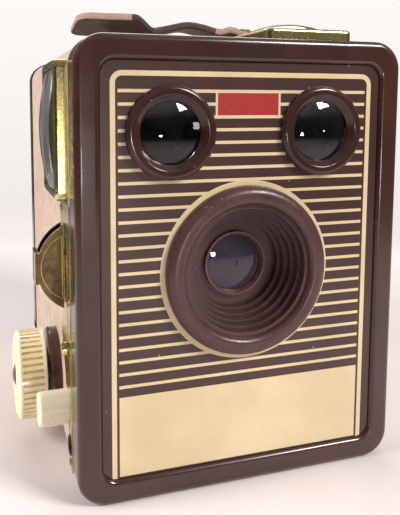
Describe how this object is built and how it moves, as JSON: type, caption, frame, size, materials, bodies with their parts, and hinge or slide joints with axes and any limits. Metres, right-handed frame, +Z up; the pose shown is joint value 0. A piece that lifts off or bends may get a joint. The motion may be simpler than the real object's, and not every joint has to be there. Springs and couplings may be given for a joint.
{
  "type": "box camera",
  "caption": "Metal box camera for roll film: brown and cream striped front, stepped lens bezel, two reflecting finders, side controls, winding knob and hinged back.",
  "frame": {"origin": "mouth of the tripod bush, in the middle of the base", "axes": "+X to the right as seen from in front of the lens, +Y from the front to the back door, +Z up"},
  "size_m": [0.0963, 0.1146, 0.1205],
  "materials": {
    "case_metal": "sheet metal painted matt black inside",
    "leatherette": "tan grained covering cloth glued to the case",
    "brown_enamel": "dark brown stoved enamel, semi-gloss",
    "printed_plate": "thin metal plate printed brown and cream, satin",
    "brown_plastic": "dark brown moulded plastic, satin",
    "cream_plastic": "ivory moulded plastic",
    "clear_glass": "polished optical glass",
    "yellow_glass": "yellow dyed glass",
    "mirror_glass": "front-silvered glass plate",
    "bright_brass": "polished brass, lacquered",
    "dark_metal": "blackened brass",
    "black_metal": "sheet steel, matt black",
    "spring_steel": "bright drawn steel",
    "red_celluloid": "red celluloid",
    "strap_leather": "dark brown leather with a raw tan edge"
  },
  "bodies": {
    "camera_body": {"case_shell": "case_metal", "case_covering": "leatherette", "front_panel": "brown_enamel", "face_plate": "printed_plate", "lens_bezel": "brown_plastic", "lens": "clear_glass", "lens_retainer": "dark_metal", "top_finder_bezel": "brown_plastic", "side_finder_bezel": "brown_plastic", "top_finder_objective": "clear_glass", "side_finder_objective": "clear_glass", "top_finder_box": "black_metal", "side_finder_box": "black_metal", "top_finder_mirror": "mirror_glass", "side_finder_mirror": "mirror_glass", "top_finder_frame": "bright_brass", "side_finder_frame": "bright_brass", "top_finder_dome": "clear_glass", "side_finder_dome": "clear_glass", "trim_plate": "bright_brass", "trim_rivets": "bright_brass", "release_socket": "dark_metal", "button_spring": "spring_steel", "slide_guide": "black_metal", "shutter_plate": "black_metal", "stop_plate": "black_metal", "shutter_posts": "spring_steel", "winding_collar": "brown_plastic", "spool_pivots": "spring_steel", "roll_holder": "black_metal", "hinge_leaf": "brown_enamel", "hinge_pin": "spring_steel", "catch_bracket": "bright_brass", "catch_pin": "spring_steel", "carrying_strap": "strap_leather", "strap_studs": "bright_brass", "tripod_bush": "bright_brass"},
    "button": {"shutter_button": "cream_plastic"},
    "lever": {"release_lever": "bright_brass"},
    "blade": {"shutter_blade": "spring_steel"},
    "selector": {"selector_knob": "bright_brass"},
    "closeup": {"closeup_slide": "bright_brass", "closeup_lens": "clear_glass"},
    "filter": {"filter_slide": "bright_brass", "filter_glass": "yellow_glass"},
    "knob_carrier": {"winding_washer": "spring_steel"},
    "knob": {"winding_knob": "cream_plastic", "knob_cap": "brown_plastic", "winding_shaft": "spring_steel"},
    "spool": {"take_up_spool": "black_metal"},
    "film_roller_upper": {"upper_roller": "spring_steel"},
    "film_roller_lower": {"lower_roller": "spring_steel"},
    "door": {"back_door": "brown_enamel", "door_covering": "leatherette", "red_window": "red_celluloid", "window_guide": "brown_enamel"},
    "window": {"window_cover": "brown_enamel"},
    "catch": {"back_catch": "bright_brass"}
  },
  "joints": [
    {"name": "button_press", "type": "slide", "parent": "camera_body", "child": "button", "axis": [1, 0, 0], "range_m": [0, 0.004], "stiffness_N_per_m": 350, "springref_m": -0.002, "deforming": ["button_spring"]},
    {"name": "lever_turn", "type": "hinge", "parent": "camera_body", "child": "lever", "pos_m": [-0.027, -0.0412, 0.032], "axis": [0, 1, 0], "range_deg": [-17, 0]},
    {"name": "blade_swing", "type": "hinge", "parent": "camera_body", "child": "blade", "pos_m": [0.014, -0.0282, 0.042], "axis": [0, 1, 0], "range_deg": [0, 50], "stiffness_Nm_per_rad": 0.004, "springref_deg": -17.19},
    {"name": "selector_slide", "type": "slide", "parent": "camera_body", "child": "selector", "axis": [0, 0, -1], "range_m": [0, 0.0045]},
    {"name": "closeup_pull", "type": "slide", "parent": "camera_body", "child": "closeup", "axis": [-1, 0, 0], "range_m": [0, 0.017]},
    {"name": "filter_pull", "type": "slide", "parent": "camera_body", "child": "filter", "axis": [-1, 0, 0], "range_m": [0, 0.017]},
    {"name": "knob_pull", "type": "slide", "parent": "camera_body", "child": "knob_carrier", "axis": [-1, 0, 0], "range_m": [0, 0.007]},
    {"name": "knob_turn", "type": "hinge", "parent": "knob_carrier", "child": "knob", "pos_m": [-0.049, -0.016, 0.0177], "axis": [1, 0, 0], "continuous": true},
    {"name": "spool_turn", "type": "hinge", "parent": "camera_body", "child": "spool", "pos_m": [0, -0.016, 0.0177], "axis": [1, 0, 0], "continuous": true},
    {"name": "upper_roller_turn", "type": "hinge", "parent": "camera_body", "child": "film_roller_upper", "pos_m": [0, 0.0487, 0.1038], "axis": [1, 0, 0], "continuous": true},
    {"name": "lower_roller_turn", "type": "hinge", "parent": "camera_body", "child": "film_roller_lower", "pos_m": [0, 0.0487, 0.0058], "axis": [1, 0, 0], "continuous": true},
    {"name": "door_swing", "type": "hinge", "parent": "camera_body", "child": "door", "pos_m": [0, 0.0539, 0.0012], "axis": [-1, 0, 0], "range_deg": [0, 95]},
    {"name": "window_slide", "type": "slide", "parent": "door", "child": "window", "axis": [1, 0, 0], "range_m": [0, 0.014]},
    {"name": "catch_lift", "type": "hinge", "parent": "camera_body", "child": "catch", "pos_m": [0, 0.0435, 0.1116], "axis": [1, 0, 0], "range_deg": [0, 22], "stiffness_Nm_per_rad": 0.02, "springref_deg": -11.46}
  ],
  "couplings": [
    {"joint": "lever_turn", "follows": "button_press", "rad_per_m": -72},
    {"joint": "spool_turn", "follows": "knob_turn", "ratio": 1}
  ]
}
